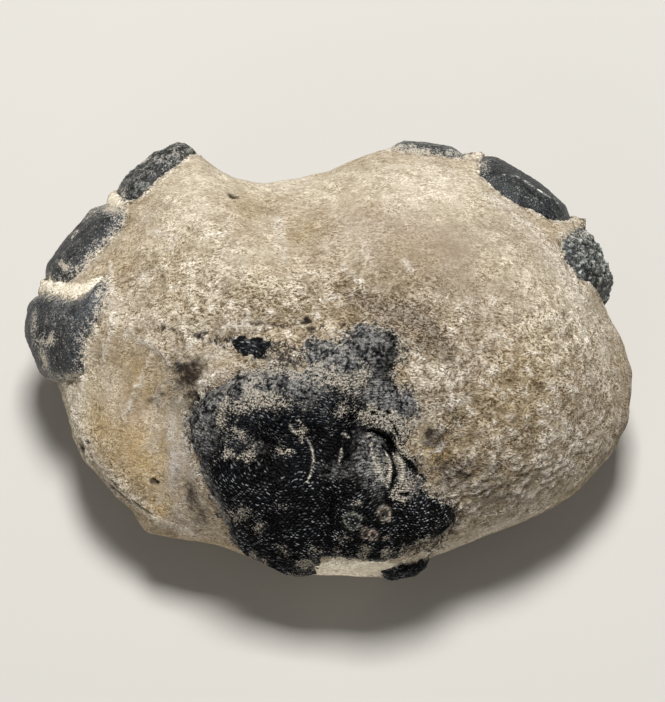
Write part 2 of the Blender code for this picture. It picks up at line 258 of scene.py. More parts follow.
def drawn(lines, u, v):
    """The height that soft lines add, and how much they show, at each point. A line is a
    path, a width, a height, and how much it shows where that isn't fully."""
    height = np.zeros(len(u))
    shown = np.zeros(len(u))
    for path, width, rise, *share in lines:
        mark = line_mark(u, v, path, width)
        height += rise * mark
        shown = np.maximum(shown, math.prod(share) * mark)
    return height, shown


def linear(text):
    """An sRGB hex colour as linear red, green and blue."""
    values = [int(text[index:index + 2], 16) / 255.0 for index in (1, 3, 5)]
    return [value / 12.92 if value <= 0.04045 else ((value + 0.055) / 1.055) ** 2.4
            for value in values]


def painted(ground, coats):
    """Colours for each point: a ground colour, then coats over it, each with how much of
    it shows at each point, 0 to 1."""
    colours = np.tile(linear(ground), (len(coats[0][1]), 1))
    for colour, amount in coats:
        amount = clamp(amount)[:, None]
        colours = colours * (1.0 - amount) + np.array(linear(colour)) * amount
    return colours


def node(tree, kind, *numbered, **named):
    """Add a shader node of a kind, and with an operation if that follows the kind, or fill
    in a node that is there. Values go to its sockets in turn. A name in small letters is a
    setting; any other is a socket's name, or _ and its number. A node is linked from its
    first output, (node, output) from that one, and a text is a colour."""
    made = kind
    if isinstance(kind, str):
        kind, *operation = kind.split()
        made = tree.nodes.new("ShaderNode" + kind)
        if operation:
            made.operation = operation[0]
    for name, value in [*named.items(), *enumerate(numbered)]:
        key = str(name)
        if key[0].islower():
            setattr(made, key, value)
            continue
        key = int(key.strip("_")) if key.strip("_").isdigit() else key.replace("_", " ")
        if isinstance(value, str):
            value = (*linear(value), 1.0)
        source = value if isinstance(value, tuple) else (value, 0)
        if hasattr(source[0], "outputs"):
            tree.links.new(source[0].outputs[source[1]], made.inputs[key])
        else:
            made.inputs[key].default_value = value
    return made


def scale_for(size):
    """The scale of a pattern whose features are about size millimetres wide."""
    return 1.0 / (size * MM)


def new_material(name):
    material = bpy.data.materials.new(name)
    material.use_nodes = True
    tree = material.node_tree
    return material, tree, tree.nodes["Principled BSDF"]


def piece_from(bm, name, places, tones, masks, material):
    """Finish a mesh: places in millimetres, none under the table, colours, and named
    numbers for each point."""
    mesh = bpy.data.meshes.new(name)
    bm.to_mesh(mesh)
    bm.free()
    world = to_world(places)
    world[:, 2] = np.maximum(world[:, 2], 0.0)
    mesh.vertices.foreach_set("co", world.astype(np.float32).ravel())
    tone = mesh.attributes.new("tone", "FLOAT_COLOR", "POINT")
    full = np.concatenate([tones, np.ones((len(tones), 1))], 1)
    tone.data.foreach_set("color", full.astype(np.float32).ravel())
    for mask_name, values in masks.items():
        kind, field = ("FLOAT", "value") if values.ndim == 1 else ("FLOAT_VECTOR", "vector")
        mask = mesh.attributes.new(mask_name, kind, "POINT")
        mask.data.foreach_set(field, values.astype(np.float32).ravel())
    mesh.shade_smooth()
    mesh.materials.append(material)
    mesh.update()
    made = add_object(name, mesh)
    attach(made, "root")
    return made


# Edges of the dark pieces, (u, v) on the face. A leg's edge goes on over the rim.
SHELL_EDGE = [
    (-27, -11.1), (-26.1, -9.1), (-24.7, -7.5), (-23.7, -5.8), (-21.9, -5), (-19.6, -3.8),
    (-17.6, -2.4), (-15.7, -1.3), (-13.3, -0.5), (-11, -0.3), (-8.6, -0.9), (-6.7, -1.5),
    (-4.7, -2), (-3.5, -0.5), (-4.5, 1.5), (-4.5, 3.8), (-2.8, 5), (-0.4, 4), (1.9, 4), (3.9, 4.8),
    (5, 6.4), (5.4, 7.6), (7.8, 8), (10.6, 7.7), (12.9, 6.8), (14.3, 5), (15.4, 3.2), (15.2, 0.7),
    (14, -1.3), (13.6, -3.2), (15.2, -5), (17.3, -6.3), (18.5, -7.9), (17.9, -9.8), (16.3, -11.4),
    (16.7, -14.5), (15.5, -16.8), (17.5, -19.6), (19.3, -23.1), (18.3, -25.1), (20.7, -26.3),
    (23.3, -27.1), (25.3, -28.6), (26, -30.9), (24.6, -32.9), (22.5, -34.3), (19.5, -35.5),
    (16.5, -36.6), (14.1, -38.4), (11.6, -39.4), (9, -39.4), (4.7, -38.9), (1.5, -38.3),
    (-0.6, -38.7), (-1.8, -40.5), (-2.5, -42.4), (-5.3, -42.6), (-8.3, -41.8), (-11.3, -40.4),
    (-14.2, -38.8), (-16.2, -38), (-17.8, -36.7), (-18.9, -34.4), (-19.6, -32.1), (-21.1, -29.4),
    (-22, -27), (-23.2, -24.8), (-24.1, -22.8), (-24.7, -20.5), (-25.6, -18.4), (-26.6, -16.4),
    (-27.2, -13.9),
]
FLAKE_EDGE = [
    (-20.5, 5), (-18.9, 4.4), (-18.3, 3), (-17.3, 1.9), (-16.3, 0.9), (-14.9, 1.4), (-13.3, 0.9),
    (-12.3, 1.2), (-11.4, 2.2), (-10.8, 3.6), (-12.6, 4.9), (-14, 4.9), (-15.7, 4.4), (-16.3, 5.1),
    (-17.9, 4.9), (-19.3, 4.8),
]
# Each leg: degrees that it goes on past the rim, height, edge on the face.
LEG_EDGES = {
    "left_leg_end": (12, 1.9, [
        (-27.2, 43.2), (-30, 41.5), (-32.2, 39.6), (-34.5, 37.9), (-36.1, 36.1), (-37.8, 34.1),
        (-39.6, 33.3), (-40.9, 32.7), (-42.3, 33.4), (-43.2, 34.6)]),
    "left_leg_middle": (14, 2.2, [
        (-45, 32), (-43, 31.6), (-41.5, 30.6), (-41, 29.4), (-41.6, 27.9), (-42.9, 26.3),
        (-44.6, 24.4), (-46.7, 22.2), (-48.4, 20.6), (-49.8, 18.9), (-51.4, 17.1), (-53.1, 16.2),
        (-55.3, 15.9), (-57.6, 16.6)]),
    "left_leg_base": (15, 2.1, [
        (-59.9, 13.6), (-57, 13.9), (-54.4, 13.1), (-51.3, 12.4), (-49.2, 13), (-47.6, 14.2),
        (-46.2, 15.9), (-45, 16.2), (-44, 15), (-44.6, 12.4), (-45.4, 9.6), (-46.5, 6.6),
        (-48.2, 4), (-48.8, 0.6), (-48.8, -2.6), (-51, -3.6), (-53.4, -4.2)]),
    "right_leg_end": (16, 1.3, [
        (28.4, 42), (25.4, 42.6), (22.9, 43), (19.9, 43.2), (17, 43.4), (13.4, 44)]),
    "right_leg_middle": (15, 1.6, [
        (50.6, 29.4), (50.1, 29.1), (47.3, 28.9), (44.8, 29.6), (42.3, 30.8), (39.2, 32),
        (36.2, 33.9), (33.9, 36.3), (31.8, 38.6), (31.9, 41.6)]),
    "right_leg_base": (14, 1.9, [
        (57.4, 11.4), (57, 12.3), (54.8, 14.8), (53.4, 16.2), (51.5, 16.8), (50.3, 18.3),
        (48.5, 20.7), (48.1, 23.2), (48.2, 24.7), (50.4, 26.4)]),
}
REAR_EDGE = [(10.9, -41.4), (14.7, -40.4), (20.2, -39)]
REAR_EDGE_WRAP = 10.0
RIM_STEPS = 9  # points of an outline where it runs behind the rim
HIND_CORNER = 0.35  # its corners there go back only this share of the way
SHELL_LIFT = 0.9
SHELL_SWELLS = [
    (3.4, -15.5, -8.5, 8, 7, 30), (-2.9, -7.5, -15, 5.5, 4, 60), (1.8, 1, -15, 11, 3.2, 95),
    (1.5, 8.5, 0.5, 7, 5.5, 30), (-2.3, 11.5, -20.5, 5.5, 2.8, 110), (-1.2, 7.2, -13.5, 5, 2, 130),
    (1.2, -14.5, -28, 9, 7, 110), (-0.9, 1.5, -28.5, 8, 2.2, 90), (2, 17.5, -31, 7, 4.5, 20),
    (0.9, 5, -31.5, 2, 2), (0.9, 11.5, -30.2, 2, 2), (0.8, 8.5, -34.5, 2.2, 1.8),
]


def chart_outline(inner, wrap=None):
    """An outline on the chart; with a wrap, it goes on over the rim that many degrees."""
    front = [tuple(map(float, chart_from_face(*point))) for point in inner]
    if wrap is None:
        return front
    first = math.atan2(inner[0][1], inner[0][0])
    last = math.atan2(inner[-1][1], inner[-1][0])
    share = np.linspace(0.0, 1.0, RIM_STEPS)
    turns = last + math.remainder(first - last, math.tau) * share
    degrees = wrap * (HIND_CORNER + (1.0 - HIND_CORNER) * np.sin(math.pi * share) ** 0.6)
    return front + [tuple(map(float, chart_past_rim(turn, past)))
                    for turn, past in zip(turns, degrees)]


def depth_inside(p, q, outline):
    """Millimetres in from an outline on the chart, negative outside it."""
    ring = outline + outline[:1]
    away = distance_to_path(p, q, ring)[0]
    inside = np.zeros(len(p), bool)
    for (p_a, q_a), (p_b, q_b) in zip(ring[:-1], ring[1:]):
        if q_a != q_b:
            crosses = (q_a > q) != (q_b > q)
            inside ^= crosses & (p < (p_b - p_a) * (q - q_a) / (q_b - q_a) + p_a)
    return np.where(inside, away, -away)


shell_outline = chart_outline(SHELL_EDGE)
flake_outline = chart_outline(FLAKE_EDGE)
rear_edge_outline = chart_outline(REAR_EDGE, REAR_EDGE_WRAP)
leg_outlines = {name: chart_outline(inner, wrap)
                for name, (wrap, crown, inner) in LEG_EDGES.items()}

STONE_SUBDIVISIONS = 7
FINE_FACE_RISE = 0.30  # the face is given a finer mesh above this
FACE_FROM = -0.05  # the scribed face starts just behind the rim
FACE_OVER = 0.15  # and is fully there after this much rise
BESIDE_SHELL = 2.2  # ground this near to the body shell is worked more
BESIDE_LEG = 1.6  # and this near to a leg
SEAT_DEPTH = 1.4  # the stone drops this far under each dark piece
SEAT_INSET = 0.3  # starting this far inside its edge
SEAT_SLOPE = 0.8  # and done after this much more
PIT_EDGE = 1.35  # a pit's rim, in radii

# Areas of the ground: (strength, u, v, length, width, turn in degrees if it has one).
ROUGH_GROUND = [  # broken, granular ground
    (1, 44, -6, 20, 17, 70), (0.8, 22, 3, 10, 12, 20), (0.9, 0, 12, 26, 6),
    (0.6, -33, 15, 14, 9, 30), (0.8, 27, -17, 10, 9, 60), (0.6, -20, 6, 14, 4.5, 10),
    (0.7, -45, -19, 14, 4, 125), (0.6, -29, -4, 6, 6),
]
SMOOTH_GROUND = [
    (1, 22, 24, 16, 11, 150), (0.4, -38, -18, 9, 12, 100), (0.5, -42, 0, 7, 7, 60),
    (0.6, -27, 36, 8, 6, 120),
]
# Low ripples, also painted with shade in their troughs and highlight on their crests
RIPPLES = (37, -24, 18, 8.5, 26)
RIPPLE_SPACING = 1.7
RIPPLE_HEIGHT = 0.26
PALE_LIPS = [  # cream lips beside dark pieces, made paler as painted light: path, width
    ([(-5, -41.6), (4.5, -41.2), (13, -40.4)], 2.2),
    ([(-61, 15.9), (-57.3, 15.4), (-54.4, 14.9), (-51.7, 14.2), (-49.1, 14.6), (-45.6, 16.6)], 1.2),
    ([(-47, 34.8), (-44.8, 33.8), (-42.8, 32.4)], 1.6),
]
STRANDS = [(4, 12.8), (7.8, 11.7), (11.6, 10.5), (15.5, 9.1), (19.4, 7.2), (22.3, 4.8), (23.9, 1.9)]
STRAND_WIDTH = 2.6
CREASES = [  # raised scribed edges, pale from scuffing and painted highlight: path, width, height
    ([(-34.6, 1.7), (-36.2, -2.1), (-37.8, -6.1), (-40.6, -12.3)], 0.65, 0.5),
    ([(-38.5, 4.6), (-35.4, 3.6), (-32.9, 1.9), (-30.5, -0.9)], 0.6, 0.3),
    ([(-24.8, -4.6), (-21.8, -2.8), (-17.5, -0.6)], 0.9, 0.5),
    ([(-49, -3.5), (-50.6, -11), (-47.4, -18.5), (-42.6, -23.6), (-38.4, -27.6), (-33.5, -31.6),
      (-26, -34.2)], 1.5, 0.45),
    ([(-44, 20), (-42.5, 10), (-44.5, 0)], 1.2, 0.35),
    ([(32, 34), (36.5, 31.3), (41.5, 27.1), (45.8, 21.5), (49.7, 15.4), (54, 10)], 2, 0.2),
    ([(-35.3, 26.7), (-32.5, 25.2), (-29.8, 24.3)], 0.8, 0.12),
    ([(-25.3, 24.9), (-22.3, 25.1), (-19.3, 25.7)], 0.7, 0.1),
    ([(-9.8, 29.4), (-9.3, 24.3), (-8.4, 19.6)], 1.5, 0.1),
    ([(2.7, 19.6), (5.1, 17.1), (7.4, 15)], 0.8, 0.15),
    ([(15.3, 20.4), (16.2, 18.9), (17, 17.4)], 0.7, 0.2),
    ([(19, -38.4), (28, -35.6), (36, -32.4), (46, -28.2)], 1.3, 0.15),
]
CRACKS = [  # narrow cut lines painted dark as painted shade: path, width, depth
    ([(-42.4, -25.2), (-41.1, -26.2), (-39.3, -27.8)], 0.25, 0.15),
    ([(-38.4, -27.6), (-36.6, -29.3), (-34.5, -30.4)], 0.25, 0.2),
    ([(-16, 7.4), (-8, 7), (-4.5, 8.6)], 0.25, 0.3),
    ([(-17, 0.1), (-13.5, 0.9), (-10, 0.6), (-6.5, -0.4), (-3.6, -0.9)], 0.35, 0.5),
    ([(-28.6, 5.6), (-28.2, 2.6), (-28.3, 0.6)], 0.2, 0.15),
]
PITS = [  # (u, v, radius, depth, darkness of the painted shade in it)
    (-19.1, 33.8, 0.8, 0.4, 0.9), (-32.4, 7, 0.5, 0.3, 0.9), (-30.9, 6.2, 0.45, 0.3, 0.9),
    (-29.9, 6.6, 0.4, 0.3, 0.8), (-25.5, 4.8, 0.8, 0.4, 1), (-23.9, 5.6, 0.5, 0.3, 0.9),
    (-26.6, -6.4, 0.8, 0.4, 0.8), (-25.3, -8, 0.8, 0.4, 0.8), (-35, -7.7, 0.6, 0.2, 0.5),
    (-32.9, -6.7, 0.5, 0.2, 0.5), (-34.6, -24, 0.6, 0.3, 0.8), (-33.5, -24.2, 0.4, 0.3, 0.8),
    (-49, -17.5, 0.7, 0.4, 0.9), (-47.8, -16.2, 0.4, 0.3, 0.7), (-42.6, -25, 0.7, 0.3, 0.9),
    (-3.8, 8.2, 0.7, 0.5, 1), (-3, 6.6, 0.6, 0.4, 0.9), (-0.6, 6.9, 0.5, 0.4, 0.8),
    (3, 7.4, 0.5, 0.3, 0.8), (20.4, -14, 0.6, 0.3, 0.8), (18.6, 8.6, 0.6, 0.3, 0.7),
    (24, 0.4, 0.6, 0.3, 0.5), (27, -22.4, 0.8, 0.3, 0.6),
]
CREAM_GROUND = [
    (0.8, -28, 33, 13, 9, 100), (1, -7, 37.2, 13, 3.8, -5), (0.35, -18, 16, 16, 7, 10),
    (0.8, 38, 19, 9, 4, 130), (0.45, 51, 8, 8, 14, 80), (0.6, 7.5, 18, 1.2, 3),
    (0.4, -40, 10, 4, 6, 90), (0.7, 18.6, -38.6, 8, 1.4, 15), (0.6, 4.7, -41.2, 7, 1.6),
    (0.8, 18.5, -7, 1.4, 5, 20), (0.6, 21.5, -15, 1.5, 4, 30), (1.2, 21, 35.5, 13, 6, -12),
    (1.1, -26, 6, 3.6, 2.2), (1.3, -50.5, -9, 3, 8, 10), (0.5, 50, 12, 5, 8, 20),
    (0.4, -29.5, -13.5, 2.6, 6), (0.5, 20, -2.5, 2, 4, 30), (0.3, 45, 1.5, 6, 6),
    (0.4, 46.5, -17.5, 5, 5), (0.5, 42.5, -28, 5, 1.8, 28),
]
OCHRE_GROUND = [
    (0.6, -46.3, -12.8, 4, 4), (0.7, -38, -20, 8, 6, 110), (0.9, -34.1, -29.6, 2.4, 1.8, 130),
    (1.2, 22, -17.6, 2.2, 2.6), (0.4, -36, -4, 4, 5, 70), (0.6, -56, 14.6, 2, 1.4),
    (0.25, 36, -8, 16, 9, 60),
]
HALO_GROUND = [  # grey-lilac, powdery ground along the shell's edge
    (0.85, -28.8, -16, 11, 3.6, 95), (0.4, -25.5, -30, 7, 3, 115), (0.5, 26, -9, 9, 4, 100),
    (0.5, 36, -24, 16, 7, 26), (0.4, 50, -14, 6, 12, -30), (0.5, -26, 0.5, 6, 3.6, 30),
    (0.6, -13, 1.4, 8, 1.8),
]
TAN_GROUND = [  # darker, warmer ground
    (0.6, 13.5, 17, 10, 7), (0.5, 24, 2, 7, 9, 20), (0.7, 37, -10, 8, 11, 60),
    (0.6, 36, -24, 14, 6, 30), (0.3, -4, 12, 14, 4), (0.55, 34, 26, 7, 5, 150),
]
BROWN_GROUND = [
    (1.5, 20.9, -15.2, 2.6, 1.8, -40), (0.9, -27, -1.9, 3.6, 3, 40), (1, -25.8, -7.8, 2, 1.8),
    (0.5, -31, -7.2, 4, 2.2), (1.1, -26.8, -25.4, 1.3, 2.6, 20), (1.3, -25.2, -29.7, 1.4, 1.3),
    (0.8, 26, -20.6, 5.5, 1.8), (0.6, 24.5, -22, 4, 5, 60), (0.5, 30, -22.5, 8, 3.6, 20),
    (0.35, -10, 9, 10, 2.2), (0.5, 19.5, 5.5, 3, 4, 30), (0.3, -26, -29, 5, 2.4, 120),
    (0.4, -42.5, -26.5, 9, 2, 130), (0.3, 22, -9, 3, 6, 100), (0.6, -34.4, 2.4, 4.6, 1, -35),
]
# Stains; those near (28, -22) and (34, -25) are painted shade, the face turning from the lamp
STAINS_AND_PAINTED_SHADE = [
    (2.4, -27, -1.9, 2.5, 2, 40), (1.4, -25.8, -7.8, 1.6, 1.3), (0.4, 28, -22, 7, 3, 20),
    (0.5, 21.6, -14.6, 2.6, 1.8, -40), (0.12, 38, -7, 8, 6, 60), (0.22, -31.5, -31, 4, 2.5, 120),
    (0.4, 34, -25, 5, 2.4, 20),
]
FLECKED_GROUND = [  # black crumbs of shell left in the ground
    (0.55, 1, 8, 7, 2.6), (0.6, -8, 4, 4, 2.4, 150), (0.85, 19, 3, 4, 5, 30),
    (0.9, 22.5, -14.5, 3.6, 2.2, 30), (0.95, 24, -20, 6, 1.6), (0.5, 26.5, -12, 2.6, 3, 60),
    (0.95, -28.6, -0.9, 2.2, 2.6, 60), (0.8, -27, -7, 1.6, 1.6), (0.45, -26.5, -21, 2.2, 6, 20),
    (0.6, -26, -27, 4, 2.4, 120), (0.5, -15, 7, 5, 1.2), (1.6, -8.5, 1.9, 5.5, 1.5, -18),
    (1.2, -21, 3.8, 2.6, 1.2, 20), (0.4, 25, -9.5, 3, 2.6), (1.5, 20.5, -35.6, 7, 2, 20),
    (0.6, 4.7, -39.2, 7, 0.6),
]


def make_stone(material):
    bm = bmesh.new()
    bmesh.ops.create_icosphere(bm, subdivisions=STONE_SUBDIVISIONS, radius=1.0)
    fine = [edge for edge in bm.edges
            if all(end.co.z > FINE_FACE_RISE for end in edge.verts)]
    bmesh.ops.subdivide_edges(bm, edges=fine, cuts=1, use_grid_fill=True)
    bmesh.ops.triangulate(bm, faces=[face for face in bm.faces if len(face.verts) > 3])
    ball = np.array([vertex.co for vertex in bm.verts])
    ball /= np.linalg.norm(ball, axis=1)[:, None]
    turn = np.arctan2(ball[:, 1], ball[:, 0])
    fall = np.arccos(np.clip(ball[:, 2], -1.0, 1.0))
    base = stone_surface(turn, fall)
    u, v = base.T[:2]
    for vertex, place in zip(bm.verts, base):
        vertex.co = place
    bm.normal_update()
    normal = np.array([vertex.normal for vertex in bm.verts])
    p, q = chart_place(turn, fall)
    on_face = smooth_step((ball[:, 2] - FACE_FROM) / FACE_OVER)

    shell_depth, *scrap_depths = [depth_inside(p, q, outline) for outline in
                                  (shell_outline, flake_outline, rear_edge_outline)]
    leg_depth = np.max([depth_inside(p, q, outline) for outline in leg_outlines.values()], 0)
    body_depth = np.max([shell_depth, *scrap_depths], 0)
    by_shell = smooth_step(1.0 + body_depth / BESIDE_SHELL)
    by_leg = smooth_step(1.0 + leg_depth / BESIDE_LEG)

    height = np.zeros(len(base))
    for knob_u, knob_v, degrees, spread, rise in JOINT_KNOBS:
        knob_p, knob_q = chart_past_rim(math.atan2(knob_v, knob_u), degrees)
        height += rise * np.exp(-((p - knob_p) ** 2 + (q - knob_q) ** 2) / spread ** 2)

    broad = noise_at(base, 7.0, 2)
    curds = noise_at(base + 31.0, 2.6, 4, 0.5)
    grains = noise_at(base + 57.0, 1.1, 3, 0.4)
    ragged_u = u + 0.9 * broad + 1.1 * curds
    ragged_v = v - 0.9 * broad + 1.1 * grains

    def patches(areas):
        return coverage(areas, ragged_u, ragged_v) * on_face

    rough = 0.25 + 0.75 * patches(ROUGH_GROUND)
    rough *= 1.0 - 0.9 * patches(SMOOTH_GROUND)
    rough = np.minimum(rough + 0.5 * by_shell + 0.7 * by_leg, 1.2)
    strands = line_mark(ragged_u, ragged_v, STRANDS, STRAND_WIDTH) * on_face
    pale = np.max([line_mark(u, v, path, width) for path, width in PALE_LIPS], 0)
    rough *= 1.0 - 0.75 * pale
    height *= 0.7 + 0.9 * curds
    height += 0.2 * broad + (0.04 + 0.3 * rough) * curds + (0.03 + 0.12 * rough) * grains
    ripple_turn = math.radians(RIPPLES[4])
    across_ripples = v * math.cos(ripple_turn) - u * math.sin(ripple_turn)
    wave = np.sin((across_ripples + 0.9 * broad + 0.9 * curds) / RIPPLE_SPACING * math.tau)
    rippled = spot(u, v, *RIPPLES) * on_face
    rippled *= clamp(0.6 + 0.7 * broad + 0.5 * curds)
    height += RIPPLE_HEIGHT * rippled * wave + 0.3 * strands * grains

    crease_height, pale_scuff_and_highlight = drawn(CREASES, u + 0.4 * curds, v - 0.4 * curds)
    crack_depth, cracked = drawn(CRACKS, u + 0.6 * curds, v - 0.6 * curds)
    height += (crease_height - crack_depth) * on_face
    pitted = np.zeros(len(base))
    for pit_u, pit_v, radius, depth, dark in PITS:
        away = np.hypot(u - pit_u, 1.4 * (v - pit_v)) / radius + 0.5 * curds + 1.3 * grains
        mark = smooth_step(2.4 * (PIT_EDGE - away)) * on_face
        height -= depth * mark
        pitted = np.maximum(pitted, dark * mark)

    seat = SEAT_DEPTH - np.minimum(total_of(SHELL_SWELLS, u, v), 0.0) * (shell_depth > 0.0)
    under = smooth_step((np.maximum(body_depth, leg_depth) - SEAT_INSET) / SEAT_SLOPE)
    height = height * (1.0 - under) - seat * under
    places = base + normal * height[:, None]

    hue = noise_at(base + 71.0, 11.0, 2)
    tone = painted("#b9a98f", [
        ("#9f8d72", 0.5 + 0.9 * broad),
        ("#bdb0a3", 0.6 * hue),
        ("#ab9566", -0.4 * hue),
        ("#a3937f", 0.8 * patches(SMOOTH_GROUND[:1])),
        ("#8b7b61", patches(TAN_GROUND)),
        ("#d6cab3", patches(CREAM_GROUND) * (0.8 + 0.4 * curds)),
        ("#af9463", patches(OCHRE_GROUND)),
        ("#b6ada1", patches(HALO_GROUND) * (0.7 + 0.9 * curds)),
        ("#43382c", patches(BROWN_GROUND) * (0.9 + 0.9 * curds)),
        ("#857a6d", 0.35 * by_shell * (1.0 + curds)),
        ("#d5cab5", 0.75 * by_leg * (1.0 + curds)),
        # Pale along the creases: partly fresh scuffing, partly painted highlight on their tops
        ("#d3c9b9", pale_scuff_and_highlight * on_face * (0.55 + 0.6 * grains)),
        # Ripple troughs painted darker and crests paler: painted shade and highlight
        ("#5f5342", -0.6 * rippled * np.minimum(wave, 0.0)),
        ("#dccfba", 0.8 * rippled * np.maximum(wave, 0.0)),
        # Paler on rises, darker in dips: the grain's colour plus painted highlight and shade
        ("#dbd1c0", clamp(0.8 * curds + 0.6 * grains) * rough),
        ("#62543f", np.clip(-0.7 * curds - 0.6 * grains, 0.0, 0.7) * rough),
        ("#837666", strands * (0.9 + 0.6 * curds)),
        # Cream lips, painted paler still: painted light on their tops
        ("#f2e6ce", (1.6 + 0.7 * curds) * pale),
        # Stains, and painted shade at the lower right
        ("#32281f", patches(STAINS_AND_PAINTED_SHADE) * (0.9 + 0.7 * curds)),
        # Pits and cracks painted dark: painted shade in them
        ("#241c15", np.maximum(pitted, 0.9 * cracked * on_face)),
        ("#8f7b5e", 0.6 * (1.0 - on_face) * (0.5 + 0.5 * broad)),
    ])
    flecks = np.maximum(patches(FLECKED_GROUND), (0.7 + 0.7 * curds) * by_shell)
    flecks = np.maximum(flecks, (0.45 + 0.7 * curds) * by_leg) * (1.0 - pale)
    flecks = np.maximum(flecks, 0.5 * strands)
    return piece_from(bm, "stone", places, tone,
                      {"grit": rough + 2.0 * strands, "flecks": flecks}, material)


def limestone():
    """Sandy limestone, freshly scribed: matt and dusty. Grains of a third to one
    millimetre show as pale powder with brown gaps, most where the ground is rough. The
    same pattern raises the bump, so its pale tops and dark gaps are also painted
    highlight and shade."""
    material, tree, shader = new_material("scribed_sandy_limestone")
    # A MapRange is given its value, the range that it is in, and the range that it goes to.
    tone, grit, flecks = [node(tree, "Attribute", attribute_name=mask)
                          for mask in ("tone", "grit", "flecks")]
    where = (node(tree, "TexCoord"), "Object")
    along = node(tree, "Mapping", Vector=where, Scale=(0.62, 1.0, 1.0))
    grain, curd, swirl, cloud, crumb = [
        node(tree, "TexNoise", Vector=source, Scale=scale_for(size), Detail=detail,
             Roughness=roughness, Distortion=distortion)
        for source, size, detail, roughness, distortion in (
            (along, 0.37, 2.0, 0.6, 0.7), (along, 1.1, 5.0, 0.75, 1.2),
            (along, 2.4, 3.0, 0.55, 1.4), (where, 4.8, 5.0, 0.7, 0.8),
            (where, 0.83, 5.0, 0.8, 1.0))]
    # Fine fibres, each a pale line beside a dark one: painted light and shade of a relief
    wound = node(tree, "Math MULTIPLY", swirl, 60.0)
    fibre = node(tree, "Math SINE", wound)
    fibrous = node(tree, "Math MULTIPLY_ADD", fibre, 0.12, curd)
    both = node(tree, "Math MULTIPLY_ADD", grain, 1.1, fibrous)
    centred = node(tree, "MapRange", both, 0.82, 1.28, -1.0, 1.0)
    patchy = node(tree, "MapRange", cloud, 0.38, 0.62, 0.25, 0.75)
    strength = node(tree, "Math MULTIPLY_ADD", (grit, "Fac"), 1.7, 0.8)
    patched = node(tree, "Math MULTIPLY", strength, patchy)
    lifted = node(tree, "Math MULTIPLY_ADD", cloud, 0.7, -0.35)
    # Pale where the bump rises, dark where it sinks: grain colour and painted light and shade
    shade = node(tree, "Math MULTIPLY_ADD", centred, patched, lifted)
    share = node(tree, "Math MULTIPLY_ADD", shade, 0.5, 0.5, use_clamp=True)
    factor = node(tree, "Mix", data_type="VECTOR", _0=share, _4=(0.32, 0.26, 0.18),
                  _5=(1.62, 1.68, 1.78))
    ground = node(tree, "VectorMath MULTIPLY", tone, (factor, 1))
    bar = node(tree, "MapRange", (flecks, "Fac"), 0.0, 1.0, 0.74, 0.44)
    over = node(tree, "Math SUBTRACT", crumb, bar)
    black = node(tree, "MapRange", over, 0.0, 0.08, 0.0, 0.95)
    colour = node(tree, "Mix", data_type="RGBA", _0=black, _6=ground, _7="#1e1a17")
    depth = node(tree, "MapRange", (grit, "Fac"), 0.0, 1.0, 0.55, 1.0)
    bump = node(tree, "Bump", Strength=depth, Distance=0.3 * MM, Height=both)
    node(tree, shader, Base_Color=(colour, 2), Normal=bump, Roughness=0.92, IOR=1.5,
         Specular_IOR_Level=0.25)
    return material


stone = make_stone(limestone())
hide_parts("matrix")

# -------- the body shell
# The crab's back, mineralised black. It is covered in granules well under a millimetre
# across, like fine leather, and powdery stone still clings to its high, dull parts.
GRANULE_STEP = 0.86  # along a row
GRANULE_ROW = 0.64  # from row to row
GRANULE_HEIGHT = 0.2
GRANULE_FALL = 1.8  # how fast a granule falls away from its middle
CHART_STRETCH = 1.5  # a length on the surface is about this much more than on its chart
ROW_BEND = (8.0, 0.0083)  # rows bend upwards away from this place, by this much
SHELL_GROOVES = [  # path, width, depth
    ([(7.7, -13.5), (9.3, -13.5), (10.8, -14.1), (12, -15.2), (12.8, -16.6), (13.8, -17.8),
      (15.1, -18.8), (16.5, -20.2), (17.9, -21.5), (19.3, -23.1)], 0.62, 1.3),
    ([(11, -16.4), (12.2, -17.6), (13, -19.1), (13.4, -20.7), (13.4, -22.3), (13, -23.8),
      (12.4, -25.4)], 0.3, 0.6),
    ([(11.4, -11), (12.8, -12.1), (13.6, -13.7), (14, -15.2)], 0.3, 0.4),
    ([(1.7, 4.6), (2.9, 3.2)], 0.3, 0.4), ([(8.6, -9.9), (10, -10.5)], 0.5, 0.5),
    ([(11.5, -9.6), (12.5, -10.4)], 0.45, 0.5), ([(14, -26), (16, -25.4)], 0.4, 0.4),
    ([(1.6, -24), (1.2, -28.5), (1.5, -33)], 0.6, 0.15),
]
SHELL_RIDGES = [  # path, width, height, how pale
    ([(-7.2, -12.1), (-6.6, -13.3), (-5.7, -14.2)], 0.35, 0.2, 0.8),
    ([(-4.1, -14.4), (-3.3, -15.6), (-2.6, -17.3), (-2.4, -18.9), (-2.7, -20.5), (-3.3, -22.2),
      (-4.1, -23.4)], 0.2, 0.3, 0.9),
    ([(-2.4, -19.3), (-1.2, -19.3)], 0.2, 0.1, 0.8),
    ([(2.9, -16.6), (2.7, -18.1), (2.5, -19.9)], 0.24, 0.15, 0.7),
    ([(2.7, -14), (3.5, -14.2), (4.4, -14.8)], 0.24, 0.15, 0.8),
    ([(8.7, -16.4), (9.1, -18.1), (9.7, -19.9), (10.5, -21.5), (11.2, -23),
      (12, -24.6)], 0.5, 0.45, 0.55),
    ([(11.6, -17.6), (12.4, -19.5), (12.6, -21.5), (12.4, -23.4)], 0.42, 0.4, 0.7),
    ([(13.8, -17.6), (14.6, -19.5), (14.8, -21.9), (14.4, -24.2)], 0.55, 0.4, 0.5),
]
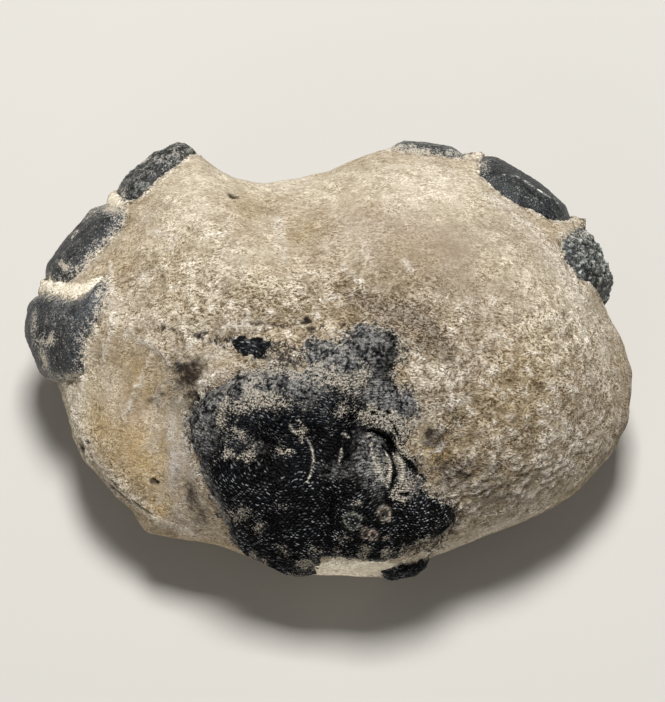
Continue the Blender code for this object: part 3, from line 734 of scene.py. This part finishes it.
# Scars where other things grew on the shell: (u, v, radius, colour).
SHELL_RINGS = [
    (5, -30.3, 1.35, "#63645a"), (10.9, -28.9, 1, "#7a6f62"), (7.6, -32.5, 0.8, "#665a50"),
    (8.9, -32.9, 0.7, "#7b6e64"),
]
RING_WIDTH = 0.3  # of the raised ring round a scar
GREY_FILM = [  # a thin, even film that greys the black
    (1, -22.1, -7.9, 3.3, 2.6, -10), (0.75, -23.5, -13.8, 3.2, 4.3), (0.55, -15.6, -5.1, 2.8, 1.6),
    (0.75, -10.3, -5.1, 1.4, 1.8), (0.9, -4.3, -4.7, 2.4, 3.9, 10), (0.8, 0.4, 1.9, 3.9, 3.9),
    (1.1, 7, 5.8, 3, 2.4), (0.5, 10.1, 2.2, 4.3, 3.5), (0.9, 10.1, -6.1, 2.8, 2),
    (1.1, 15.7, -8.4, 2.6, 2, 20), (0.85, 8.1, -19.4, 2.4, 5.9, 15), (1, 11.2, -19.5, 1.2, 3.9, 15),
    (0.5, 1.8, -21, 3.6, 1.8), (0.6, -20.5, -29.6, 1.6, 4.3, 12), (0.7, -5.9, 4.2, 1.6, 1.2),
    (0.8, 16.6, -24, 2.2, 2.4), (0.4, 1, -1.5, 8, 5), (0.4, -14, -4, 8, 4),
    (0.7, -22.6, -25, 1.6, 5, 18), (0.4, -14, -16.5, 3.4, 1.6), (0.4, 12, -9.5, 6, 3.5, 130),
]
BARE_BLACK = [  # where granules are worn and hardly catch the light
    (0.35, -9, -12.5, 5, 2.8, -20), (0.5, -6, -20.5, 3.6, 3), (0.8, -20, -8.5, 2.6, 1.8),
    (0.9, 11.6, -0.6, 2.4, 1.6, 55), (0.5, 4, -17.5, 3, 3), (0.35, 5, -27.5, 9, 2.4),
    (0.6, 10.5, -31.5, 3, 1.6), (0.8, -4.5, -29.5, 5.5, 3.2), (0.4, -12.5, -22.5, 3, 2.4),
]
DUST_PATCHES = [  # cream powder, in specks, solid above 1
    (1.1, -13.3, -1.3, 7.1, 1.3), (0.4, -14.4, -5.5, 6.3, 3.2), (0.6, -12.5, -8, 2.6, 1.6),
    (0.5, -7.8, -8.4, 2.8, 1.8), (0.35, -16.7, -9.6, 4.3, 1.8), (0.1, -2, -1, 10, 4),
    (0.14, -18, -14, 6, 5), (0.12, 8, 1, 6, 5), (0.6, -6.6, -1.3, 1.6, 2),
    (0.35, -19.1, -12.1, 1.2, 2.4), (0.3, 1.7, 3.6, 4.3, 2.8), (0.3, -0.8, -2.4, 3.5, 3.2),
    (0.55, 3.7, -4.4, 4.7, 1.8), (0.4, 7, -2.8, 1.4, 2.4), (0.98, 14.4, -3.8, 1.8, 2.6),
    (0.8, 15.2, 1.9, 1.4, 3.5, -10), (0.5, 11.5, 6.6, 3.9, 1.6), (0.35, 3.7, -8, 3.9, 1.6),
    (0.5, 2.3, -10.2, 2, 1.2), (1.25, 9.7, -10.9, 3, 1.8, -15), (1.1, 12.8, -12.1, 2, 1.6, -45),
    (1.1, 14.7, -15.2, 1.6, 3.2, -15), (0.9, 15.5, -18.7, 1.6, 1.6), (0.7, 10.1, -19.5, 1, 4.3, 15),
    (0.9, 12.2, -21.4, 0.8, 3.5, 8), (0.85, 14.3, -21.9, 0.8, 3.9, 5),
    (0.7, 16.3, -23.8, 1.8, 2.4, -30), (0.95, 13.6, -25.8, 1.8, 1.2), (0.8, -15, -18.1, 1.8, 1.2),
    (0.7, -18.3, -17.8, 1, 1), (0.35, -15.6, -14.4, 1.8, 1.6), (0.85, -7.6, -17.7, 1.8, 0.8),
    (0.75, -16.3, -28.7, 2, 1.8), (0.45, -19.1, -29.5, 1.6, 2.8), (0.55, -12.6, -31.4, 1.6, 1.6),
    (0.5, -7.8, -27.3, 1.4, 1.6), (0.7, -16.2, -37.7, 0.8, 1.2), (0.9, -13.9, -38, 0.8, 1.4),
    (1, -12, -39.2, 0.8, 1.8), (0.6, -7.9, -37.1, 1.4, 1.6), (0.9, -4, -39.1, 1.8, 1.2),
    (0.8, -1.6, -36.4, 1, 1), (0.5, -5.2, -41.4, 2.4, 1), (0.8, -11.3, -40.9, 2, 0.8, -25),
    (0.8, 19.5, -34.6, 6.7, 1.6, 22), (0.9, 15.9, -38.8, 3.2, 1.2, 12),
    (0.5, 24.8, -33.3, 2, 1.6, 40), (0.9, 6, -27.3, 1.2, 0.6), (0.85, 4.1, -33.9, 1, 0.6),
    (0.9, 11.3, -33.3, 0.8, 0.8), (0.6, 7.6, -35.9, 1.4, 1.2), (0.9, 11.5, -36.6, 1, 0.8),
    (0.8, 14.4, -35, 0.4, 1.6), (0.95, 7.2, -38.2, 0.6, 1.8), (0.35, 2.7, -36.8, 3.5, 1.6),
    (0.6, 4.7, -38.9, 5.9, 0.8), (1.1, -4.5, -13.1, 0.9, 1), (1.1, -5.1, -15, 0.6, 0.8),
]
SHELL_GRID = 0.11  # chart spacing of the mesh that carries the granules
SHELL_SEAT = 0.6  # a piece's edge goes this far down into the stone
SHELL_BEVEL = 0.5  # its edge rounds over across this width
SHELL_LIP = 0.2  # it starts nearly level with the stone
SHELL_SHOULDER = 2.2  # and has risen to its full height this far in
RAGGED = 0.9  # how far a broken edge strays from its outline
RAGGED_SIZE = 1.4  # about how wide the bites in it are
SUNK_EDGE = 0.25  # a piece goes on this far under the ground's surface
SHEET_MARGIN = 1.5  # room round the outline for that, before it is cut


def granule_grid(p, q, places, step=GRANULE_STEP, row=GRANULE_ROW, bend=ROW_BEND):
    """Places counted in granules along a row, and in rows, which waver and bend."""
    waver = noise_at(places + 90.0, 9.0)
    along = p * CHART_STRETCH + 1.5 * waver + 0.4 * noise_at(places + 13.0, 1.1, 2)
    across = q * CHART_STRETCH - bend[1] * (p * CHART_STRETCH - bend[0]) ** 2
    across += 2.5 * waver + 0.34 * noise_at(places + 29.0, 1.1, 2)
    return np.stack([along / step, across / row, np.zeros(len(p))], 1)


def granule_bumps(grid):
    """A rounded bump at each place of the grid; each row is half a step off the last."""
    shifted = (grid[:, 0] + 0.5 * np.floor(grid[:, 1])) % 1.0 - 0.5
    return smooth_step(1.0 - GRANULE_FALL * np.hypot(shifted, grid[:, 1] % 1.0 - 0.5))


def lay_patch(outline, spacing, ragged):
    """A sheet on the chart, cut to an outline, with a skirt and a plain underside. Gives
    the mesh, which points are on top, and for each its place on the stone's surface, its
    place on the chart, and its depth inside the edge."""
    low = np.min(outline, axis=0) - SHEET_MARGIN
    high = np.max(outline, axis=0) + SHEET_MARGIN
    middle = (low + high) / 2.0
    half = (high - low) / 2.0
    bm = bmesh.new()
    bmesh.ops.create_grid(bm, x_segments=int(2.0 * half[0] / spacing),
                          y_segments=int(2.0 * half[1] / spacing), size=1.0)
    bmesh.ops.scale(bm, verts=bm.verts, vec=(*half, 1.0))
    bmesh.ops.translate(bm, verts=bm.verts, vec=(*middle, 0.0))

    def depth_of(verts):
        places = np.array([(*vertex.co.xy, 0.0) for vertex in verts])
        p, q = places.T[:2]
        depth = depth_inside(p, q, outline) + ragged * noise_at(places, RAGGED_SIZE, 3)
        return p, q, depth + SUNK_EDGE

    depths = depth_of(bm.verts)[2]
    outside = [vertex for vertex, depth in zip(bm.verts, depths) if depth < 0.0]
    bmesh.ops.delete(bm, geom=outside, context="VERTS")
    while pinched := [vertex for vertex in bm.verts
                      if not vertex.is_manifold or not vertex.link_faces]:
        bmesh.ops.delete(bm, geom=pinched, context="VERTS")
    top_count = len(bm.verts)
    rim = [edge for edge in bm.edges if edge.is_boundary]
    grown = bmesh.ops.extrude_edge_only(bm, edges=rim)["geom"]
    skirt = [item for item in grown if isinstance(item, bmesh.types.BMVert)]
    bmesh.ops.translate(bm, verts=skirt, vec=(0.0, 0.0, -1.0))
    hem = [item for item in grown
           if isinstance(item, bmesh.types.BMEdge) and item.is_boundary]
    bmesh.ops.triangle_fill(bm, edges=hem, use_beauty=True)
    bmesh.ops.recalc_face_normals(bm, faces=bm.faces)
    p, q, depth = depth_of(bm.verts)
    on_top = np.arange(len(bm.verts)) < top_count
    return bm, on_top, surface_from_chart(p, q), p, q, depth


def skin_from(sheet, name, relief, tone, dust, spark, grid, material):
    """Finish a dark piece: its top at its relief above the ground, an edge that rounds
    over into the stone, and an underside below that."""
    bm, on_top, base, p, q, depth = sheet
    top = -SHELL_SEAT + (relief + SHELL_SEAT) * smooth_step(depth / SHELL_BEVEL)
    height = np.where(on_top, top, -2.0 * SHELL_SEAT)
    places = base + normals_from_chart(p, q) * height[:, None]
    return piece_from(bm, name, places, tone, {"dust": dust, "spark": spark, "rows": grid},
                      material)


def make_shell(material):
    sheet = lay_patch(shell_outline, SHELL_GRID, RAGGED)
    base, p, q, depth = sheet[2:]
    u, v = base.T[:2]
    broad = noise_at(base, 6.0, 2)
    lumps = noise_at(base + 11.0, 2.2, 3, 0.5)
    fine = noise_at(base + 23.0, 0.7, 3, 0.4)
    grid = granule_grid(p, q, base)
    ragged_u = u + 0.6 * lumps + 0.3 * fine
    ragged_v = v - 0.6 * lumps + 0.3 * fine
    film = clamp(1.6 * coverage(GREY_FILM, ragged_u, ragged_v) - 0.2)
    wear_and_glint = coverage(BARE_BLACK, ragged_u, ragged_v)
    dust = np.maximum(total_of(DUST_PATCHES, ragged_u, ragged_v),
                      0.6 * smooth_step(1.3 - depth / 0.9))
    caked = np.minimum(dust, 1.0)
    groove_depth, grooved = drawn(SHELL_GROOVES, u + 0.25 * lumps, v - 0.25 * lumps)
    ridge_height, ridged = drawn(SHELL_RIDGES, u + 0.25 * lumps, v - 0.2 * lumps)
    ridged = ridged * (0.8 + 0.5 * fine)
    relief = SHELL_LIFT + total_of(SHELL_SWELLS, u, v) + ridge_height - groove_depth
    relief += 0.16 * broad + (0.1 + 0.25 * caked) * lumps + 0.05 * fine
    relief += GRANULE_HEIGHT * granule_bumps(grid) * (1.0 - 0.5 * caked)
    ring_coats = []
    for ring_u, ring_v, radius, colour in SHELL_RINGS:
        away = np.hypot(u - ring_u, v - ring_v) + 0.4 * lumps + 0.15 * fine
        ring = np.exp(-((away - radius) / RING_WIDTH) ** 2) + 0.15 * (away < radius)
        relief += 0.15 * ring
        ring_coats.append((colour, 0.75 * ring))

    lower = smooth_step((-16.0 - v) / 8.0)
    tone = painted("#040405", [
        ("#111317", (0.4 + 1.2 * broad) * (1.0 - wear_and_glint) * (1.0 - 0.7 * lower)),
        ("#646361", film * (0.85 + 0.8 * lumps + 1.3 * fine)),
        *ring_coats,
        # The grooves are painted blacker still: painted shade in them
        ("#020202", 1.4 * grooved),
        ("#cfc8ba", ridged),
    ])
    # spark: how strong each granule's painted highlight is
    spark = 0.3 + 0.5 * lower + 0.6 * broad + 0.6 * lumps
    spark *= (1.0 - 0.9 * wear_and_glint) * (1.0 - 0.6 * film)
    spark *= 1.0 - clamp(1.5 * grooved + ridged)
    dust = 0.3 + 0.85 * dust * (1.0 - grooved) + 0.25 * lumps + 0.14 * fine
    dust = np.minimum(dust - 0.2 * wear_and_glint - 0.06 * lower, 0.78)

    lip = SHELL_LIP + 0.1 * lumps
    shoulder = smooth_step(depth_inside(p, q, shell_outline) / SHELL_SHOULDER)
    relief = lip + (relief - lip) * shoulder
    made = skin_from(sheet, "body_shell", relief, tone, dust, spark, grid, material)
    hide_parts("carapace")


def shell_material(name, gloss, speck_size, smear_size, doming, thin_powder):
    """Black mineralised crab shell: low granules, each with a pale streak on top that is
    partly worn pale shell and partly a painted highlight, and a powder of pale stone
    caught in specks between and on them."""
    material, tree, shader = new_material(name)
    tone, dust, spark, rows = [node(tree, "Attribute", attribute_name=mask)
                               for mask in ("tone", "dust", "spark", "rows")]
    split = node(tree, "SeparateXYZ", (rows, "Vector"))
    row = node(tree, "Math FLOOR", (split, "Y"))
    shifted = node(tree, "Math MULTIPLY_ADD", row, 0.5, (split, "X"))
    place = node(tree, "CombineXYZ", shifted, (split, "Y"))
    granule = node(tree, "VectorMath FLOOR", place)
    within = node(tree, "VectorMath FRACTION", place)
    centred = node(tree, "VectorMath MULTIPLY_ADD", within, (1.0, 1.5, 0.0),
                   (-0.5, -0.75, 0.0))
    away = node(tree, "VectorMath LENGTH", centred)
    # A pale streak on each granule's top: a painted highlight, partly worn pale shell
    streak = node(tree, "MapRange", (away, "Value"), 0.4, 0.1)
    luck = node(tree, "TexWhiteNoise", Vector=granule)
    # How bright each granule's painted highlight is, by chance
    wear_and_glint = node(tree, "MapRange", (luck, "Value"), 0.45, 1.0, 0.0, 1.3)
    lit = node(tree, "Math MULTIPLY", streak, wear_and_glint)
    glint = node(tree, "Math MULTIPLY", lit, (spark, "Fac"), use_clamp=True)
    where = (node(tree, "TexCoord"), "Object")
    grain, smear, patch = [
        node(tree, "TexNoise", Vector=where, Scale=scale_for(size), Detail=detail,
             Roughness=roughness, Distortion=distortion)
        for size, detail, roughness, distortion in (
            (0.38, 3.0, 0.7, 0.0), (smear_size, 5.0, 0.8, 0.7), (speck_size, 5.0, 0.75, 0.0))]
    mottle = node(tree, "MapRange", smear, 0.42, 0.62, 0.05, 2.8)
    mottled = node(tree, "VectorMath SCALE", tone, Scale=mottle)
    # The streaks' painted highlight colour, over the mottled black
    streaked = node(tree, "Mix", data_type="RGBA", _0=glint, _6=mottled, _7="#b4b6b8")
    bar = node(tree, "MapRange", (dust, "Fac"), 0.0, 1.0, 0.72, 0.4)
    over = node(tree, "Math SUBTRACT", patch, bar)
    powder = node(tree, "MapRange", over, 0.0, 0.06, 0.0, 0.95)
    thick = node(tree, "MapRange", (dust, "Fac"), 0.35, 0.9)
    dusty = node(tree, "Mix", data_type="RGBA", _0=thick, _6=thin_powder, _7="#c6bba8")
    colour = node(tree, "Mix", data_type="RGBA", _0=powder, _6=(streaked, 2), _7=(dusty, 2))
    matt = node(tree, "MapRange", powder, 0.0, 0.8, 0.42, 0.9)
    dome = node(tree, "Math MULTIPLY_ADD", (away, "Value"), -doming, grain)
    bump = node(tree, "Bump", Strength=0.8, Distance=0.22 * MM, Height=dome)
    node(tree, shader, Base_Color=(colour, 2), Roughness=matt, Normal=bump, IOR=1.55,
         Specular_IOR_Level=gloss)
    return material


shell_finish = shell_material("blackened_granular_shell", 0.05, 0.36, 0.87, 1.2, "#8f8b84")
make_shell(shell_finish)

# -------- legs
# Segments of the walking legs, bars of shell that lie along the stone's rim. They are
# the same mineral as the body's shell, greyer and smoother, with much finer granules.
LEG_GRID = 0.17
LEG_SHOULDER = 3.2  # a leg swells up gently over this width
LEG_RAGGED = 0.22
LEG_STEP = 0.62  # its granules are finer than the body's
LEG_ROW = 0.5
LEG_SHADES = [  # where a leg's shell stays black
    (0.8, -53, 4.5, 3.2, 2.4), (0.8, -57.5, 4, 2.6, 8), (0.8, -51, -0.8, 3.6, 2.4),
    (0.5, -50, 20.5, 4, 1.6, 40),
]
LEG_SCARS = [(-50.6, 24.7, 0.8), (-36.6, 40.4, 0.7)]
KEEL = [(35.8, 37), (39.4, 36.2), (43.3, 33.4), (47.6, 30.6)]
KEEL_WIDTH = 0.9
KEEL_HEIGHT = 0.6
KEEL_LINE = 0.3  # the worn, pale line along its top
# Each leg: tone, height of lumps, width of its powdered edge, and dusty areas.
LEG_FINISHES = {
    "left_leg_end": ("#191714", 0.22, 0.6, [
        (0.2, -36.5, 38, 5, 2.4, 40), (0.35, -31, 42, 4, 1.4, 30), (0.6, -42, 34, 1.6, 1.4)]),
    "left_leg_middle": ("#2b2c2d", 0, 2.2, [
        (0.9, -43.4, 30.8, 3, 2, 150), (1.1, -52.5, 18.2, 1.1, 0.8), (0.5, -51.8, 25.6, 1, 1.2),
        (0.1, -49, 24, 7, 4, 50), (0.5, -47.6, 29.2, 1, 2.6, -40)]),
    "left_leg_base": ("#3c3e40", 0, 2.8, [
        (1, -54.6, 4.2, 1.4, 1.1), (0.9, -55.6, 0.6, 1, 3, 20), (0.6, -58, 7.4, 0.9, 4),
        (0.8, -52, -3, 3, 0.9), (0.5, -46.4, 7.6, 0.9, 6, 160), (0.16, -52, 8, 5, 6)]),
    "right_leg_end": ("#50514e", 0, 1.5, [
        (0.8, 21, 42.6, 9, 1.2, 175), (0.7, 13.8, 44.4, 2, 1, 175)]),
    "right_leg_middle": ("#212526", 0, 0.6, [
        (0.6, 32.6, 40, 1.2, 2.2), (0.15, 40.5, 33.4, 6, 1, 150)]),
    "right_leg_base": ("#282b28", 0.55, 0.7, [
        (0.25, 51, 22.5, 3, 4), (0.4, 51.4, 25.2, 2.4, 1.4), (0.25, 55.5, 17, 2.4, 3.4),
        (0.3, 56, 21, 1.4, 1.4)]),
}


def make_leg(name, outline, crown, material):
    leg_tone, lumpiness, powdered, dusty = LEG_FINISHES[name]
    sheet = lay_patch(outline, LEG_GRID, LEG_RAGGED)
    base, p, q, depth = sheet[2:]
    u, v = base.T[:2]
    broad = noise_at(base, 4.0, 2)
    lumps = noise_at(base + 11.0, 1.8, 3, 0.5)
    fine = noise_at(base + 23.0, 0.7, 3, 0.4)
    keel = chart_outline(KEEL)
    relief = crown + 0.15 * broad + (0.08 + lumpiness) * lumps
    relief += 0.07 * fine + KEEL_HEIGHT * line_mark(p, q, keel, KEEL_WIDTH)
    lip = SHELL_LIP + 0.1 * lumps
    shoulder = clamp(depth_inside(p, q, outline) / LEG_SHOULDER)
    relief = lip + (relief - lip) * np.sin(QUARTER_TURN * shoulder)

    tone = painted(leg_tone, [
        ("#0c0d0f", 0.35 - 0.5 * lumps - 0.5 * broad),
        ("#0b0b0c", coverage(LEG_SHADES, u, v) * (0.9 + 0.7 * lumps)),
        ("#a9ada6", 1.2 * lumpiness * (lumps + fine)),
        ("#bab9b2", line_mark(p, q, keel, KEEL_LINE) * (0.5 + 1.1 * fine + 0.5 * lumps)),
    ])
    fringe = (0.62 + 0.3 * fine) * smooth_step(1.05 - depth / powdered)
    dust = np.maximum(coverage(dusty, u + 0.5 * lumps, v - 0.5 * lumps), fringe)
    for scar_u, scar_v, radius in LEG_SCARS:
        scar_p, scar_q = chart_from_face(scar_u, scar_v)
        away = np.hypot(p - scar_p, q - scar_q) + 0.2 * lumps
        dust = np.maximum(dust, 1.2 * np.exp(-((away - radius) / RING_WIDTH) ** 2))
    dust = 0.36 + 0.65 * dust + 0.15 * lumps + 0.1 * fine
    # How strong the painted highlight on each fine granule is
    spark = clamp(0.08 + 0.2 * fine)
    grid = granule_grid(p, q, base, LEG_STEP, LEG_ROW, (0.0, 0.0))
    made = skin_from(sheet, name + "_skin", relief, tone, dust, spark, grid, material)
    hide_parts(name)


leg_finish = shell_material("greyed_satin_leg_shell", 0.35, 0.33, 0.5, 0.2, "#b9b9b4")
for leg_name, outline in leg_outlines.items():
    make_leg(leg_name, outline, LEG_EDGES[leg_name][1], leg_finish)

# -------- flake and rear edge
# Two scraps of the same shell: a thin flake left on the ground above the body, and the
# body shell's rear edge where it shows again under the stone's lip.
SCRAP_GRID = 0.12
SCRAP_SHOULDER = 1.5
SCRAP_RAGGED = 0.4
FLAKE_HEIGHT = 0.65
REAR_EDGE_HEIGHT = 0.9


def make_scrap(name, node_name, outline, crown, material):
    sheet = lay_patch(outline, SCRAP_GRID, SCRAP_RAGGED)
    base, p, q, depth = sheet[2:]
    lumps = noise_at(base + 11.0, 1.6, 3, 0.5)
    grid = granule_grid(p, q, base)
    shoulder = smooth_step(depth_inside(p, q, outline) / SCRAP_SHOULDER)
    relief = SHELL_LIP + (crown - SHELL_LIP) * shoulder
    relief += 0.2 * lumps + 0.15 * granule_bumps(grid)
    tone = painted("#0a0a0b", [("#232528", 0.5 + lumps)])
    dust = 0.3 + 0.3 * lumps + 0.35 * smooth_step(1.3 - depth / 0.6)
    # How strong the painted highlight on the scrap's granules is
    spark = 0.6 + 0.6 * lumps
    made = skin_from(sheet, name, relief, tone, dust, spark, grid, material)
    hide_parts(node_name)


make_scrap("shell_flake", "carapace_chip", flake_outline, FLAKE_HEIGHT, shell_finish)
make_scrap("rear_edge", "rear_shell_edge", rear_edge_outline, REAR_EDGE_HEIGHT, shell_finish)

# -------- floor and light
# A plain pale table under one soft lamp high up and a little behind, with a weak fill
# low at the front left. These sizes and places are in metres.
floor_mesh = bmesh.new()
bmesh.ops.create_grid(floor_mesh, x_segments=1, y_segments=1, size=2.0)
floor_data = bpy.data.meshes.new("floor")
floor_mesh.to_mesh(floor_data)
floor_mesh.free()
floor = add_object("floor", floor_data)
card, card_tree, card_shader = new_material("pale_matt_card")
node(card_tree, card_shader, Base_Color="#c9c6bf", Roughness=0.95)
floor_data.materials.append(card)


def soft_lamp(name, place, size, power):
    lamp = add_object(name, bpy.data.lights.new(name, "AREA"))
    lamp.data.shape = "SQUARE"
    lamp.data.size = size
    lamp.data.energy = power
    lamp.location = place
    lamp.rotation_euler = (-Vector(place)).to_track_quat("-Z", "Y").to_euler()


soft_lamp("key_lamp", (0.02, 0.3, 1.02), 0.3, 14.0)
soft_lamp("fill_lamp", (-0.6, -1.2, 0.4), 1.0, 4.5)
world = bpy.data.worlds.new("room")
world.use_nodes = True
node(world.node_tree, world.node_tree.nodes["Background"], Color=(1.0, 1.0, 1.0, 1.0),
     Strength=0.12)
bpy.context.scene.world = world
bpy.context.scene.view_settings.view_transform = "Standard"
